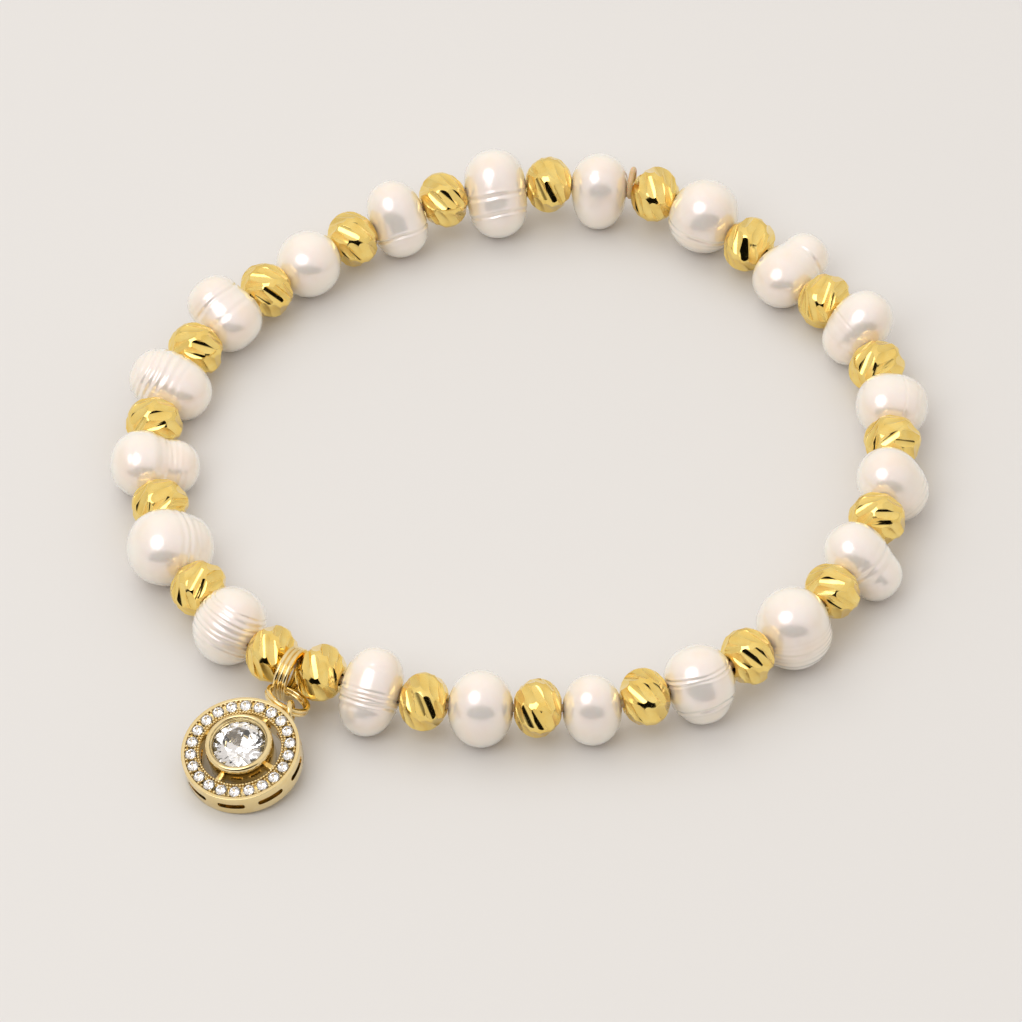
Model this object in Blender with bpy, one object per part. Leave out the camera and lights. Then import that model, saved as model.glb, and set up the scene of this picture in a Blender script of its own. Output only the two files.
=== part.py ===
"""Pearl bracelet: freshwater potato pearls and small cut gold beads on one loop of elastic.

Metres, +Z up. The bracelet lies on the plane z = 0 as a whole ring, its box centred on the origin.
Beads are numbered clockwise, seen from above, from the two rings that carry the round charm.
"""
import math
from collections import namedtuple

import bmesh
import bpy
from mathutils import Matrix, Vector

MM = 0.001
UP = Vector((0.0, 0.0, 1.0))

# Gold beads: nearly round, milled, with a wide drilled hole that seats the pearls.
GOLD_DIAMETER = 5.0 * MM
GOLD_LENGTH = 3.85 * MM
GOLD_HOLE = 1.8 * MM
GOLD_CUT_DEPTH = 0.2 * MM
GOLD_SIDES = 14
GOLD_RINGS = 5
GOLD_TWIST = math.radians(26.0)
GOLD_ROLL = math.radians(137.5)

# Pearls: the sizes that the table below gives shares of.
PEARL_GIRTH = 5.7 * MM
PEARL_LENGTH = 7.0 * MM
PEARL_HOLE = 1.1 * MM
PEARL_SIDES = 12
PEARL_SECTIONS = 10
PEARL_HOLE_SIDES = 8
LOBE_FULLNESS = 2.15
LOBE_BLEND = 9.0

# girth, length: shares of the two sizes above. lean: degrees that the growth axis stands above the
# outward horizontal. low, high: girths of the two lobes, as shares of the pearl's own girth.
# meet, overlap: where the lobes meet, and how far each runs past it, in half lengths.
# hole: how far the drilled hole lies from the middle towards the high end, in half lengths.
Pearl = namedtuple("Pearl", "girth length lean low high meet overlap hole")
PEARLS = [
    Pearl(1.09, 0.97, 126, 0.97, 1.00, -0.10, 0.75, 0.05),
    Pearl(1.16, 1.07, 20, 0.84, 1.00, -0.30, 0.42, -0.15),
    Pearl(1.02, 1.12, 14, 0.81, 1.00, -0.12, 0.28, 0.05),
    Pearl(0.97, 1.07, 18, 1.00, 0.92, 0.25, 0.55, 0.00),
    Pearl(0.97, 1.01, 30, 1.00, 0.90, 0.05, 0.42, -0.18),
    Pearl(1.01, 0.83, 90, 1.00, 1.00, 0.00, 1.00, 0.00),
    Pearl(0.87, 1.00, 55, 0.93, 1.00, -0.35, 0.50, 0.00),
    Pearl(0.96, 1.14, 49, 0.97, 1.00, 0.00, 0.48, 0.12),
    Pearl(0.89, 0.98, 60, 1.00, 0.97, 0.25, 0.65, 0.12),
    Pearl(1.08, 0.94, 68, 0.95, 1.00, -0.20, 0.70, 0.00),
    Pearl(0.93, 1.08, 13, 1.00, 0.83, 0.20, 0.32, -0.10),
    Pearl(0.91, 1.02, 45, 0.88, 1.00, -0.20, 0.48, -0.14),
    Pearl(1.00, 0.90, -14, 1.00, 0.88, 0.30, 0.55, -0.10),
    Pearl(0.98, 0.98, 124, 0.90, 1.00, -0.30, 0.52, 0.20),
    Pearl(0.92, 1.09, 138, 0.86, 1.00, -0.22, 0.38, 0.18),
    Pearl(1.13, 1.02, 101, 0.94, 1.00, -0.30, 0.60, 0.04),
    Pearl(1.03, 0.98, 122, 0.84, 0.98, -0.30, 0.42, 0.16),
    Pearl(0.88, 0.89, 110, 1.00, 1.00, 0.00, 1.00, 0.12),
    Pearl(0.97, 0.96, 110, 1.00, 1.00, 0.00, 1.00, 0.06),
    Pearl(0.92, 1.10, 135, 0.98, 1.00, 0.00, 0.60, 0.06),
]

# The string: its elastic, the space between neighbours, and the plain way that it lies.
# The way is given from the rings, clockwise, and is then sized to hold the beads exactly.
ELASTIC_DIAMETER = 0.7 * MM
BEAD_GAP = 0.12 * MM
ROUTE = [
    (-18.0, -20.8), (-20.9, -19.2), (-26.3, -12.0), (-29.9, -2.0), (-30.8, 8.0), (-27.4, 16.8),
    (-21.2, 24.3), (-13.7, 30.4), (-5.3, 34.8), (4.2, 36.4), (13.2, 35.4), (21.4, 29.2),
    (27.7, 22.5), (31.9, 14.2), (32.7, 4.8), (31.1, -4.6), (27.0, -12.8), (19.6, -20.3),
    (10.7, -24.8), (1.9, -25.6), (-7.5, -25.0), (-15.6, -21.9),
]
ROUTE_STEPS = 16

# The small tied loop of elastic, which stands out on one side of the string after a pearl.
KNOT_AFTER_PEARL = 9
KNOT_WIRE = 0.5 * MM
KNOT_DIAMETER = 2.9 * MM
KNOT_LEAN = math.radians(50.0)
KNOT_CLEARANCE = 0.06 * MM

# The upright jump ring in the groove between the two end beads, pulled down and out by the charm,
# and the flatter ring that it holds. The hook angle is how far below level, round the jump ring's
# middle, the link ring hangs on it. The link ring then runs at one azimuth, rolled about that run.
JUMP_RING_DIAMETER = 4.8 * MM
JUMP_RING_WIRE = 0.7 * MM
JUMP_RING_DROP = 0.9 * MM
JUMP_RING_DROP_ANGLE = math.radians(24.0)
LINK_RING_DIAMETER = 4.05 * MM
LINK_RING_WIRE = 0.5 * MM
LINK_HOOK_ANGLE = math.radians(27.0)
LINK_AZIMUTH = math.radians(-79.5)
LINK_ROLL = math.radians(-29.0)
RING_CLEARANCE = 0.06 * MM
RING_SIDES = 16
WIRE_SIDES = 6

# The charm: a flat ring of small stones round a raised bezel on four spokes.
# Heights are from the ring's top face, and azimuths are from +X before the charm is tilted.
CHARM_DIAMETER = 10.0 * MM
CHARM_THICKNESS = 2.2 * MM
CHARM_TILT = math.radians(13.1)
CHARM_RISES_TOWARDS = math.radians(52.5)
HALO_WIDTH = 1.55 * MM
HALO_SIDES = 36
PAVE_STONES = 22
PAVE_DIAMETER = 1.0 * MM
PAVE_TABLE = 0.56 * MM
PAVE_RISE = 0.2 * MM
PAVE_SEAT = 0.2 * MM
PAVE_EDGE = 0.3 * MM
PAVE_START = math.radians(2.0)
SLOTS = 9
SLOT_ANGLE = math.radians(27.0)
SLOT_HEIGHT = 0.65 * MM
SLOT_START = math.radians(19.3)
SLOT_STEPS = 4
BEZEL_DIAMETER = 5.7 * MM
BEZEL_RISE = 1.1 * MM
BEZEL_DEPTH = 1.7 * MM
BEZEL_SIDES = 24
BEZEL_LEDGE = 0.5 * MM
STONE_DIAMETER = 4.4 * MM
STONE_TABLE = 2.8 * MM
STONE_CROWN = 0.6 * MM
STONE_GIRDLE = 0.12 * MM
STONE_PAVILION = 1.75 * MM
STONE_CLEARANCE = 0.08 * MM
STONE_BELOW_RIM = 0.45 * MM
SPOKES = 4
SPOKE_WIDTH = 0.5 * MM
SPOKE_HEIGHT = 1.0 * MM
SPOKE_DROP = 0.3 * MM
SPOKE_START = math.radians(54.0)
BAIL_AZIMUTH = math.radians(43.6)
BAIL_DIAMETER = 2.0 * MM
BAIL_WIRE = 0.5 * MM
BAIL_TWIST = math.radians(42.0)
BAIL_SIDES = 14
FUSE = 0.1 * MM


def material(name, colour, roughness, metallic):
    """A plain Principled material."""
    made = bpy.data.materials.new(name)
    made.use_nodes = True
    shader = made.node_tree.nodes["Principled BSDF"]
    shader.inputs["Base Color"].default_value = (*colour, 1.0)
    shader.inputs["Roughness"].default_value = roughness
    shader.inputs["Metallic"].default_value = metallic
    return made


def finished_mesh(bm, name):
    """Turn a bmesh into a mesh with its faces pointing out and its curved faces smooth."""
    bmesh.ops.recalc_face_normals(bm, faces=bm.faces[:])
    mesh = bpy.data.meshes.new(name)
    bm.to_mesh(mesh)
    bm.free()
    mesh.shade_smooth()
    mesh.set_sharp_from_angle(angle=math.radians(35.0))
    return mesh


def add_piece(name, data, surface, matrix, parent):
    """Put one named piece in the scene."""
    piece = bpy.data.objects.new(name, data)
    data.materials.clear()
    data.materials.append(surface)
    bpy.context.scene.collection.objects.link(piece)
    piece.parent = parent
    piece.matrix_basis = matrix
    return piece


def add_helper(name, mesh, matrix, parent):
    """A shape that only takes part in a Boolean, and isn't a piece itself."""
    helper = bpy.data.objects.new(name, mesh)
    bpy.context.scene.collection.objects.link(helper)
    helper.parent = parent
    helper.matrix_basis = matrix
    helper.display_type = "WIRE"
    helper.hide_render = True
    return helper


def combine(piece, helper, operation):
    """Cut the helper from the piece, or fuse it to the piece."""
    boolean = piece.modifiers.new(helper.name, "BOOLEAN")
    boolean.operation = operation
    boolean.object = helper
    boolean.solver = "EXACT"


def turned(bm, profile, sides, closed, start=0.0):
    """Spin a profile of (radius, height) points round Z. A closed profile makes a ring."""
    turn = Matrix.Rotation(start, 3, "Z")
    verts = [bm.verts.new(turn @ Vector((radius, 0.0, height))) for radius, height in profile]
    pairs = list(zip(verts, verts[1:]))
    if closed:
        pairs.append((verts[-1], verts[0]))
    edges = [bm.edges.new(pair) for pair in pairs]
    bmesh.ops.spin(bm, geom=verts + edges, cent=(0, 0, 0), axis=UP, angle=math.tau,
                   steps=sides, use_merge=True)
    bmesh.ops.remove_doubles(bm, verts=bm.verts[:], dist=1e-7)


def wire_ring_mesh(name, outer_diameter, wire, sides, wire_sides):
    """A round wire ring in the XY plane."""
    mean_radius = (outer_diameter - wire) / 2
    profile = []
    for side in range(wire_sides):
        angle = math.tau * (side + 0.5) / wire_sides
        profile.append((mean_radius + wire / 2 * math.cos(angle), wire / 2 * math.sin(angle)))
    bm = bmesh.new()
    turned(bm, profile, sides, closed=True)
    return finished_mesh(bm, name)


def axes_matrix(x_axis, y_axis, z_axis, place):
    """A matrix with the given axes and place."""
    turn = Matrix((x_axis, y_axis, z_axis)).transposed()
    return Matrix.Translation(place) @ turn.to_4x4()


# Pearls

def lobe(place, start, end, size):
    """Radius share of one rounded lobe that runs from start to end."""
    offset = abs(2 * place - start - end) / (end - start)
    if offset >= 1.0:
        return 0.0
    return size * (1 - offset ** LOBE_FULLNESS) ** (1 / LOBE_FULLNESS)


def both_lobes(pearl, place):
    """Radius share of the two blended lobes, before it is levelled to the girth."""
    low = lobe(place, -1.0, min(1.0, pearl.meet + pearl.overlap), pearl.low)
    high = lobe(place, max(-1.0, pearl.meet - pearl.overlap), 1.0, pearl.high)
    return (low ** LOBE_BLEND + high ** LOBE_BLEND) ** (1 / LOBE_BLEND)


def pearl_radius(pearl, height):
    """Radius at a height along the growth axis, measured from the drilled hole."""
    half_length = pearl.length * PEARL_LENGTH / 2
    places = [math.cos(math.pi * step / 48) for step in range(49)]
    widest = max(both_lobes(pearl, place) for place in places)
    share = both_lobes(pearl, height / half_length + pearl.hole) / widest
    return share * pearl.girth * PEARL_GIRTH / 2


def pearl_profile(pearl):
    """Points (radius, height) from the low end to the high end, closer together near the ends."""
    half_length = pearl.length * PEARL_LENGTH / 2
    profile = []
    for section in range(PEARL_SECTIONS + 1):
        place = -math.cos(math.pi * section / PEARL_SECTIONS)
        height = (place - pearl.hole) * half_length
        at_end = section in (0, PEARL_SECTIONS)
        profile.append((0.0 if at_end else pearl_radius(pearl, height), height))
    return profile


def pearl_seat(pearl):
    """Distance from the hole's middle to the plane where a gold bead's rim meets the pearl."""
    rim = GOLD_HOLE / 2
    reach = []
    for step in range(13):
        angle = math.pi * step / 12
        radius = pearl_radius(pearl, rim * math.cos(angle))
        reach.append(math.sqrt(radius ** 2 - (rim * math.sin(angle)) ** 2))
    return max(reach)


def pearl_rest_height(pearl):
    """Height of the drilled hole when the leaning pearl lies on the ground."""
    lean = math.radians(pearl.lean)
    return max(radius * abs(math.cos(lean)) - height * math.sin(lean)
               for radius, height in pearl_profile(pearl))


def pearl_mesh(pearl, name):
    """The pearl along Z, with a flat side towards X, where its hole is drilled."""
    bm = bmesh.new()
    turned(bm, pearl_profile(pearl), PEARL_SIDES, closed=False, start=math.pi / PEARL_SIDES)
    return finished_mesh(bm, name)


def drill_mesh(name, diameter, length, sides):
    """A rod along X."""
    bm = bmesh.new()
    bmesh.ops.create_cone(bm, cap_ends=True, segments=sides, radius1=diameter / 2,
                          radius2=diameter / 2, depth=length,
                          matrix=Matrix.Rotation(math.pi / 2, 4, "Y")
                          @ Matrix.Rotation(math.pi / sides, 4, "Z"))
    return finished_mesh(bm, name)


# Gold beads

def gold_half_axis():
    """Half of the bead's full length, before the hole takes its two tips."""
    return GOLD_LENGTH / 2 / math.sqrt(1 - (GOLD_HOLE / GOLD_DIAMETER) ** 2)


def gold_bead_mesh():
    """A flattened ball with staggered high and low corners, and its hole along Z."""
    half_axis = gold_half_axis()
    seat_angle = math.asin(GOLD_HOLE / GOLD_DIAMETER)
    heights = []
    profile = []
    for ring in range(GOLD_RINGS + 2):
        angle = seat_angle + (math.pi - 2 * seat_angle) * ring / (GOLD_RINGS + 1)
        heights.append(half_axis * math.cos(angle))
        profile.append((GOLD_DIAMETER / 2 * math.sin(angle), heights[-1]))
    bm = bmesh.new()
    turned(bm, profile, GOLD_SIDES, closed=True)
    for vert in bm.verts:
        ring = min(range(len(heights)), key=lambda index: abs(heights[index] - vert.co.z))
        side = round(math.atan2(vert.co.y, vert.co.x) / math.tau * GOLD_SIDES)
        between_seats = 0 < ring < GOLD_RINGS + 1
        if between_seats and (ring + side) % 2:
            vert.co *= 1 - 2 * GOLD_CUT_DEPTH / GOLD_DIAMETER
        vert.co.rotate(Matrix.Rotation(GOLD_TWIST * vert.co.z / half_axis, 3, "Z"))
    return finished_mesh(bm, "gold_bead")


# The string's route

def closed_route():
    """A smooth closed line through the chosen points, as many short steps."""
    points = [Vector((x * MM, y * MM, 0.0)) for x, y in ROUTE]
    spans = [points[(index + 1) % len(points)] - point for index, point in enumerate(points)]
    tangents = []
    for index, span in enumerate(spans):
        before = spans[index - 1]
        blend = before.length / (before.length + span.length)
        tangents.append(before.normalized().lerp(span.normalized(), blend))
    line = []
    for index, start in enumerate(points):
        end = points[(index + 1) % len(points)]
        reach = spans[index].length
        for step in range(ROUTE_STEPS):
            t = step / ROUTE_STEPS
            line.append(start * (2 * t ** 3 - 3 * t ** 2 + 1)
                        + tangents[index] * reach * (t ** 3 - 2 * t ** 2 + t)
                        + end * (3 * t ** 2 - 2 * t ** 3)
                        + tangents[(index + 1) % len(points)] * reach * (t ** 3 - t ** 2))
    return line


def walk(line, distances):
    """Points at the given distances along a closed line."""
    places = []
    index = 0
    passed = 0.0
    for distance in distances:
        step = (line[(index + 1) % len(line)] - line[index]).length
        while passed + step < distance and index < len(line) - 1:
            passed += step
            index += 1
            step = (line[(index + 1) % len(line)] - line[index]).length
        places.append(line[index].lerp(line[(index + 1) % len(line)], (distance - passed) / step))
    return places


Bead = namedtuple("Bead", "name pearl start end")


def strung_beads():
    """Every bead with its start and end along the string, and the string's whole length."""
    ring_space = JUMP_RING_WIRE + 2 * RING_CLEARANCE
    knot_space = KNOT_WIRE + 2 * KNOT_CLEARANCE
    beads = []
    reached = ring_space / 2
    for number, pearl in enumerate(PEARLS, start=1):
        beads.append(Bead(f"gold_bead_{number:02d}", None, reached, reached + GOLD_LENGTH))
        reached += GOLD_LENGTH + BEAD_GAP
        thickness = 2 * pearl_seat(pearl)
        beads.append(Bead(f"pearl_{number:02d}", pearl, reached, reached + thickness))
        space = knot_space if number == KNOT_AFTER_PEARL else BEAD_GAP
        reached += thickness + space
    beads.append(Bead(f"gold_bead_{len(PEARLS) + 1:02d}", None, reached, reached + GOLD_LENGTH))
    return beads, reached + GOLD_LENGTH + ring_space / 2


def string_joints(beads, length):
    """Points of the elastic in the gaps between beads. The first lies in the rings' gap."""
    stations = [0.0]
    for bead, following in zip(beads, beads[1:]):
        stations.append((bead.end + following.start) / 2)
    line = closed_route()
    whole = sum((line[index] - line[index - 1]).length for index in range(len(line)))
    joints = walk([point * (length / whole) for point in line], stations)
    stations.append(length)

    pearls = [index for index, bead in enumerate(beads) if bead.pearl]
    middle = {index: (beads[index].start + beads[index].end) / 2 for index in pearls}
    rest = {index: pearl_rest_height(beads[index].pearl) for index in pearls}
    for order, index in enumerate(pearls):
        before = pearls[order - 1]
        after = pearls[(order + 1) % len(pearls)]
        run = (middle[after] - middle[before]) % length
        slope = (rest[after] - rest[before]) / run
        joints[index].z = rest[index] + slope * (stations[index] - middle[index])
        joints[index + 1].z = rest[index] + slope * (stations[index + 1] - middle[index])
    joints[0].z = (joints[1].z + joints[-1].z) / 2
    return joints, stations


def outward(direction):
    """The level direction that points out of the loop, for a clockwise string direction."""
    return Vector((-direction.y, direction.x, 0.0)).normalized()


def bead_place(bead, joints, stations, index):
    """Middle of a bead on the straight stretch of string inside it, and the string's direction."""
    first = joints[index]
    second = joints[(index + 1) % len(joints)]
    share = ((bead.start + bead.end) / 2 - stations[index]) / (stations[index + 1] - stations[index])
    return first.lerp(second, share), (second - first).normalized()


def add_pearl(bead, place, direction, nacre, parent):
    """One pearl on its growth axis, drilled along the string."""
    lean = math.radians(bead.pearl.lean)
    growth = outward(direction) * math.cos(lean) + UP * math.sin(lean)
    growth = (growth - direction * growth.dot(direction)).normalized()
    matrix = axes_matrix(direction, growth.cross(direction), growth, place)
    piece = add_piece(bead.name, pearl_mesh(bead.pearl, bead.name), nacre, matrix, parent)
    drill = drill_mesh(f"{bead.name}_drill", PEARL_HOLE, 2 * bead.pearl.girth * PEARL_GIRTH,
                       PEARL_HOLE_SIDES)
    combine(piece, add_helper(drill.name, drill, matrix, parent), "DIFFERENCE")


def add_beads(beads, joints, stations, nacre, gold, parent):
    """All pearls and gold beads."""
    shared = gold_bead_mesh()
    for index, bead in enumerate(beads):
        place, direction = bead_place(bead, joints, stations, index)
        if bead.pearl:
            add_pearl(bead, place, direction, nacre, parent)
        else:
            side = outward(direction)
            matrix = axes_matrix(side, direction.cross(side), direction, place)
            roll = Matrix.Rotation(GOLD_ROLL * index, 4, "Z")
            add_piece(bead.name, shared, gold, matrix @ roll, parent)


def add_elastic(joints, surface, parent):
    """The elastic as one closed tube, straight inside each bead."""
    curve = bpy.data.curves.new("elastic", "CURVE")
    curve.dimensions = "3D"
    curve.bevel_depth = ELASTIC_DIAMETER / 2
    curve.bevel_resolution = 2
    curve.resolution_u = 1
    curve.render_resolution_u = 0
    spline = curve.splines.new("POLY")
    spline.points.add(len(joints) - 1)
    for point, joint in zip(spline.points, joints):
        point.co = (*joint, 1.0)
    spline.use_cyclic_u = True
    add_piece("elastic", curve, surface, Matrix.Identity(4), parent)


def add_knot(joint, direction, surface, parent):
    """The tied loop, round the elastic and standing out of the string on one side."""
    mean_radius = (KNOT_DIAMETER - KNOT_WIRE) / 2
    offset = mean_radius - (KNOT_WIRE + ELASTIC_DIAMETER) / 2 - KNOT_CLEARANCE
    side = outward(direction)
    over = direction.cross(side)
    stands = side * math.cos(KNOT_LEAN) + over * math.sin(KNOT_LEAN)
    matrix = axes_matrix(side, over, direction, joint + stands * offset)
    mesh = wire_ring_mesh("elastic_knot", KNOT_DIAMETER, KNOT_WIRE, RING_SIDES, WIRE_SIDES)
    add_piece("elastic_knot", mesh, surface, matrix, parent)


# Rings and charm

def add_rings(joint, direction, bail_height, gold, parent):
    """The jump ring and the link ring. Gives the point where the link passes through the bail."""
    side = outward(direction)
    over = direction.cross(side)
    drop = side * math.cos(JUMP_RING_DROP_ANGLE) - over * math.sin(JUMP_RING_DROP_ANGLE)
    jump_place = joint + drop * JUMP_RING_DROP
    mesh = wire_ring_mesh("jump_ring", JUMP_RING_DIAMETER, JUMP_RING_WIRE, RING_SIDES, WIRE_SIDES)
    add_piece("jump_ring", mesh, gold, axes_matrix(side, over, direction, jump_place), parent)

    jump_mean_radius = (JUMP_RING_DIAMETER - JUMP_RING_WIRE) / 2
    inside = (JUMP_RING_WIRE + LINK_RING_WIRE) / 2 + RING_CLEARANCE
    hook = side * math.cos(LINK_HOOK_ANGLE) - over * math.sin(LINK_HOOK_ANGLE)
    link_start = jump_place + hook * (jump_mean_radius - inside)
    link_mean = LINK_RING_DIAMETER - LINK_RING_WIRE
    rise = bail_height - link_start.z
    level = Vector((math.cos(LINK_AZIMUTH), math.sin(LINK_AZIMUTH), 0.0))
    link_end = link_start + level * math.sqrt(link_mean ** 2 - rise ** 2) + UP * rise
    along = (link_end - link_start).normalized()
    across = Matrix.Rotation(LINK_ROLL, 3, along) @ UP.cross(level)
    middle = (link_start + link_end) / 2
    mesh = wire_ring_mesh("link_ring", LINK_RING_DIAMETER, LINK_RING_WIRE, RING_SIDES, WIRE_SIDES)
    add_piece("link_ring", mesh, gold, axes_matrix(along, across, along.cross(across), middle),
              parent)
    return link_end


def charm_turn():
    """The charm's tilt, rising towards one azimuth."""
    hinge = Vector((-math.sin(CHARM_RISES_TOWARDS), math.cos(CHARM_RISES_TOWARDS), 0.0))
    return Matrix.Rotation(-CHARM_TILT, 4, hinge)


def charm_face_height():
    """Height of the top face's middle when the charm's low edge rests on the ground."""
    return CHARM_DIAMETER / 2 * math.sin(CHARM_TILT) + CHARM_THICKNESS * math.cos(CHARM_TILT)


def bail_place():
    """The bail's middle in the charm's own axes, half way down the wall."""
    reach = CHARM_DIAMETER / 2 + (BAIL_DIAMETER - BAIL_WIRE) / 2 - BAIL_WIRE / 4
    return Vector((reach * math.cos(BAIL_AZIMUTH), reach * math.sin(BAIL_AZIMUTH),
                   -CHARM_THICKNESS / 2))


def halo_mesh():
    """The flat outer ring."""
    outer = CHARM_DIAMETER / 2
    inner = outer - HALO_WIDTH
    profile = [(outer, -CHARM_THICKNESS), (outer, 0.0), (inner, 0.0), (inner, -CHARM_THICKNESS)]
    bm = bmesh.new()
    turned(bm, profile, HALO_SIDES, closed=True)
    return finished_mesh(bm, "charm_frame")


def slots_mesh():
    """One curved block for each slot through the outer ring's side wall."""
    outer = CHARM_DIAMETER / 2 + FUSE
    inner = CHARM_DIAMETER / 2 - HALO_WIDTH - FUSE
    top = (SLOT_HEIGHT - CHARM_THICKNESS) / 2
    bottom = top - SLOT_HEIGHT
    corners = [(outer, bottom), (outer, top), (inner, top), (inner, bottom)]
    bm = bmesh.new()
    for slot in range(SLOTS):
        angle = SLOT_START - SLOT_ANGLE / 2 + math.tau * slot / SLOTS
        turn = Matrix.Rotation(angle, 3, "Z")
        face = bm.faces.new([bm.verts.new(turn @ Vector((x, 0.0, z))) for x, z in corners])
        bmesh.ops.spin(bm, geom=[face, *face.edges, *face.verts], cent=(0, 0, 0), axis=UP,
                       angle=SLOT_ANGLE, steps=SLOT_STEPS, use_duplicate=False)
    return finished_mesh(bm, "charm_slots")


def pave_mesh():
    """The small stones, each a flat-topped eight-sided crown sunk into the ring."""
    reach = CHARM_DIAMETER / 2 - PAVE_EDGE - PAVE_DIAMETER / 2
    bm = bmesh.new()
    for stone in range(PAVE_STONES):
        angle = PAVE_START + math.tau * stone / PAVE_STONES
        place = Vector((reach * math.cos(angle), reach * math.sin(angle),
                        (PAVE_RISE - PAVE_SEAT) / 2))
        bmesh.ops.create_cone(bm, cap_ends=True, segments=8, radius1=PAVE_DIAMETER / 2,
                              radius2=PAVE_TABLE / 2, depth=PAVE_RISE + PAVE_SEAT,
                              matrix=Matrix.Translation(place) @ Matrix.Rotation(angle, 4, "Z"))
    return finished_mesh(bm, "charm_pave")


def bezel_mesh():
    """The raised cup: rounded rim, opening for the stone, and the ledge under it."""
    outer = BEZEL_DIAMETER / 2
    opening = STONE_DIAMETER / 2 + STONE_CLEARANCE
    lip = (outer - opening) / 3
    ledge = BEZEL_RISE - STONE_BELOW_RIM - STONE_GIRDLE - BEZEL_LEDGE
    bore = opening - BEZEL_LEDGE
    profile = [
        (outer, -BEZEL_DEPTH),
        (outer, BEZEL_RISE - lip),
        (outer - lip, BEZEL_RISE),
        (opening + lip / 2, BEZEL_RISE),
        (opening, BEZEL_RISE - lip),
        (opening, ledge),
        (bore, ledge - BEZEL_LEDGE / 2),
        (bore, -BEZEL_DEPTH),
    ]
    bm = bmesh.new()
    turned(bm, profile, BEZEL_SIDES, closed=True)
    return finished_mesh(bm, "charm_bezel")


def spokes_mesh():
    """Four bars between the bezel and the ring."""
    start = BEZEL_DIAMETER / 2 - 2 * FUSE
    end = CHARM_DIAMETER / 2 - HALO_WIDTH + 2 * FUSE
    bm = bmesh.new()
    for spoke in range(SPOKES):
        turn = Matrix.Rotation(SPOKE_START + math.tau * spoke / SPOKES, 4, "Z")
        place = Matrix.Translation(((start + end) / 2, 0.0, -SPOKE_DROP - SPOKE_HEIGHT / 2))
        size = Matrix.Diagonal((end - start, SPOKE_WIDTH, SPOKE_HEIGHT, 1.0))
        bmesh.ops.create_cube(bm, size=1.0, matrix=turn @ place @ size)
    return finished_mesh(bm, "charm_spokes")


def brilliant_mesh():
    """A round brilliant with its girdle's lower edge at z = 0: table, stars, kites and pavilion."""
    girdle = STONE_DIAMETER / 2
    table = STONE_TABLE / 2
    half_step = math.pi / 8
    crown = STONE_GIRDLE + STONE_CROWN
    rings = [
        (8, table, crown, 0.0),
        (8, (table + girdle) / 2 * 1.02, STONE_GIRDLE + STONE_CROWN * 0.55, half_step),
        (16, girdle, STONE_GIRDLE, 0.0),
        (16, girdle, 0.0, 0.0),
        (8, girdle * 0.22, -STONE_PAVILION * 0.8, half_step),
    ]
    bm = bmesh.new()
    for sides, radius, height, turn in rings:
        for side in range(sides):
            angle = turn + math.tau * side / sides
            bm.verts.new((radius * math.cos(angle), radius * math.sin(angle), height))
    bm.verts.new((0.0, 0.0, -STONE_PAVILION))
    bmesh.ops.convex_hull(bm, input=bm.verts[:], use_existing_faces=False)
    return finished_mesh(bm, "charm_stone")


def add_charm(link_end, gold, brilliant, parent):
    """The charm, with its bail's eye round the link ring, and its centre stone."""
    turn = charm_turn()
    matrix = Matrix.Translation(link_end - turn @ bail_place()) @ turn
    frame = add_piece("charm_frame", halo_mesh(), gold, matrix, parent)
    combine(frame, add_helper("charm_slots", slots_mesh(), matrix, parent), "DIFFERENCE")
    combine(frame, add_helper("charm_spokes", spokes_mesh(), matrix, parent), "UNION")
    combine(frame, add_helper("charm_bezel", bezel_mesh(), matrix, parent), "UNION")
    combine(frame, add_helper("charm_pave", pave_mesh(), matrix, parent), "UNION")

    upright = (Matrix.Rotation(BAIL_AZIMUTH + BAIL_TWIST, 4, "Z")
               @ Matrix.Rotation(math.pi / 2, 4, "X"))
    bail = wire_ring_mesh("charm_bail", BAIL_DIAMETER, BAIL_WIRE, BAIL_SIDES, WIRE_SIDES)
    bail_matrix = matrix @ Matrix.Translation(bail_place()) @ upright
    combine(frame, add_helper("charm_bail", bail, bail_matrix, parent), "UNION")

    girdle_height = BEZEL_RISE - STONE_BELOW_RIM - STONE_GIRDLE
    add_piece("charm_stone", brilliant_mesh(), brilliant,
              matrix @ Matrix.Translation((0.0, 0.0, girdle_height)), parent)


def stand_on_origin(root):
    """Move the whole bracelet so that its box is centred and stands on z = 0."""
    bpy.context.view_layer.update()
    depsgraph = bpy.context.evaluated_depsgraph_get()
    corners = []
    for piece in root.children:
        if piece.hide_render:
            continue
        evaluated = piece.evaluated_get(depsgraph)
        mesh = evaluated.to_mesh()
        corners.extend(piece.matrix_world @ vert.co for vert in mesh.vertices)
        evaluated.to_mesh_clear()
    low = Vector([min(corner[axis] for corner in corners) for axis in range(3)])
    high = Vector([max(corner[axis] for corner in corners) for axis in range(3)])
    root.location = (-(low.x + high.x) / 2, -(low.y + high.y) / 2, -low.z)
    bpy.context.view_layer.update()


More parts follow.
